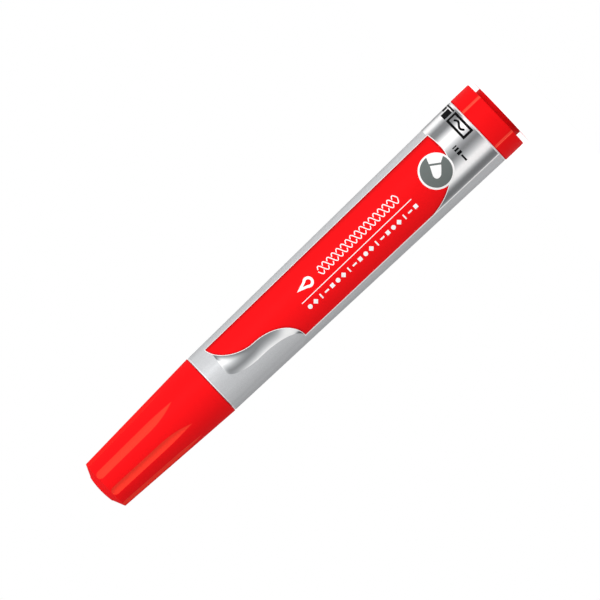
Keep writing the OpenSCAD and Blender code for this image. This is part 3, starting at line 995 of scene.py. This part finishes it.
def panel_print():
    """White marks on the red panel: a drop, a braid, a rule and a row of plain shapes."""

    def drop(share):
        r, z = 1.35 * share, 60.7
        turns = np.linspace(0.75, 2 * math.pi - 0.75, 34)
        round_end = [(1.75 + r * math.sin(a), z + r * math.cos(a)) for a in turns]
        return onto([(1.75, z + 3.6 * share)] + round_end)

    rule = [(-0.95 + 0.004 * (65 - z), z) for z in np.linspace(65.2, 29.8, 60)]
    items = [([drop(1.0), drop(0.5)],), (onto(rule), 0.1)]
    # Two strands that pass over and under each other every half wave
    half, under, start = 1.5, 0.24, 57.3
    for k in range(-1, 17):
        side = 1 if k % 2 == 0 else -1
        z0 = max(k, 0) * half + (under if k >= 0 else 0)
        z1 = min(k + 2, 17) * half - (under if k < 15 else 0)
        line = [(1.75 + side * 1.1 * math.sin(math.pi * z / half), start - z) for z in np.linspace(z0, z1, 36)]
        items.append((onto(line), 0.125))
    for k in range(20):
        x, z = -2.75, 64.3 - 1.8 * k
        shape = (disc(x, z, 0.56, 28), bar(x, z, 1.3, 0.36), bar(x, z, 1.0, 1.0), polygon(x, z, 0.72, 4),
                 bar(x, z, 0.4, 1.2))[k * 3 % 5]
        items.append(([onto(shape)],))
    film("label_marks", items, 0.07, WHITE_INK, step=0.5)


def band_print():
    """Black marks on the silver band: a board with a wave on it, an eraser, and bars from thin to thick."""
    z0 = 9.55
    at = lambda points: [(ARC_R * math.radians(a), z) for a, z in points]
    block = lambda a0, a1, low, high: [(a0, low), (a1, low), (a1, high), (a0, high)]
    wave = [(a, z0 + 0.42 * math.sin((a - 15.5) / 21 * 2 * math.pi)) for a in np.linspace(15.5, 36.5, 80)]
    items = [([at(block(5.0, 47.0, z0 - 1.6, z0 + 1.6)), at(block(9.0, 43.0, z0 - 0.98, z0 + 0.98))],),
             (at(wave), 0.27), ([at(block(51, 67, z0 - 0.85, z0 + 1.6))],),
             ([at(block(50, 86, z0 - 1.6, z0 - 1.15))],), ([at(block(71.5, 84, z0 - 0.85, z0 + 0.5))],)]
    z1 = 13.95
    for a0, a1 in ((7.2, 5.4), (3.2, 0.2), (-2.2, -6.6)):
        items.append(([at(block(a1, a0, z1 - 0.62, z1 + 0.62))],))
    items.append(([at(block(-19.8, -8.8, z1 - 0.24, z1 + 0.24))],))
    film("band_marks", items, 0.07, BLACK_INK, step=0.4)


# ---------------------------------------------------------------- pieces

end_plug()
barrel()
nose_section()
nib()
cap_shell()
cap_liner()
panel()
band()
swoosh()
keylines()
icon()
panel_print()
band_print()
for node, mat in (("reservoir_core", FIBRE), ("reservoir_wrap", FILM)):
    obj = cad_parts[node]
    obj.data.materials.clear()
    obj.data.materials.append(mat)


# ---------------------------------------------------------------- floor, light and camera

def floor():
    radius = 500.0
    angles = circle_angles(128)
    verts, faces = lathe([(0, 0), (60, 0), (radius, 0)], angles)
    mesh = bpy.data.meshes.new("floor")
    mesh.from_pydata([tuple(c * MM for c in v) for v in verts], [], [tuple(reversed(f)) for f in faces])
    obj = bpy.data.objects.new("floor", mesh)
    bpy.context.scene.collection.objects.link(obj)
    mesh.materials.append(pale_floor())


def panel_light(name, place, target, width, height, power, colour=(1, 1, 1)):
    data = bpy.data.lights.new(name, "AREA")
    data.shape = "RECTANGLE"
    data.size, data.size_y = width, height
    data.energy, data.color = power, colour
    obj = bpy.data.objects.new(name, data)
    bpy.context.scene.collection.objects.link(obj)
    obj.location = place
    obj.rotation_euler = (Vector(target) - Vector(place)).to_track_quat("-Z", "Y").to_euler()
    obj.visible_camera = False
    return obj


def studio():
    middle = (0, 0, 0.065)
    key = panel_light("key", (0.68, -0.76, 0.16), middle, 0.5, 0.9, 7.6)
    key.visible_glossy = False
    shine = panel_light("shine", (0.55, -0.85, 0.065), middle, 0.5, 1.2, 2.8)
    shine.visible_diffuse = False
    panel_light("top", (0.05, -0.4, 1.05), middle, 1.0, 0.8, 4.0)
    world = bpy.data.worlds.new("studio")
    bpy.context.scene.world = world
    world.use_nodes = True
    tree = world.node_tree
    background = tree.nodes["Background"]
    path = tree.nodes.new("ShaderNodeLightPath")
    shine = tree.nodes.new("ShaderNodeMix")
    seen = tree.nodes.new("ShaderNodeMix")
    for node, plain, lit in ((shine, 0.52, 0.12), (seen, None, 1.0)):
        node.data_type = "RGBA"
        if plain is not None:
            node.inputs["A"].default_value = (plain, plain, plain, 1)
        node.inputs["B"].default_value = (lit, lit, lit, 1)
    tree.links.new(path.outputs["Is Glossy Ray"], shine.inputs["Factor"])
    tree.links.new(shine.outputs["Result"], seen.inputs["A"])
    tree.links.new(path.outputs["Is Camera Ray"], seen.inputs["Factor"])
    tree.links.new(seen.outputs["Result"], background.inputs["Color"])


def camera():
    """A long lens square to the label, rolled so that the cap is low on the left."""
    data = bpy.data.cameras.new("camera")
    data.lens, data.sensor_width = 1000.0, 36.0
    data.clip_start, data.clip_end = 0.1, 20.0
    view = 0.1414
    distance = view / 2 / math.tan(math.atan(data.sensor_width / 2 / data.lens))
    obj = bpy.data.objects.new("camera", data)
    bpy.context.scene.collection.objects.link(obj)
    lean = math.radians(43.565)
    up = Vector((math.cos(lean), 0, -math.sin(lean)))
    right = Vector((-math.sin(lean), 0, -math.cos(lean)))
    back = Vector((0, -1, 0))
    turn = Matrix((right, up, back)).transposed()
    obj.matrix_world = Matrix.Translation(Vector((0.00002, -distance, 0.065))) @ turn.to_4x4()
    bpy.context.scene.camera = obj


floor()
studio()
camera()
scene = bpy.context.scene
scene.view_settings.view_transform = "Standard"
scene.view_settings.look = "None"
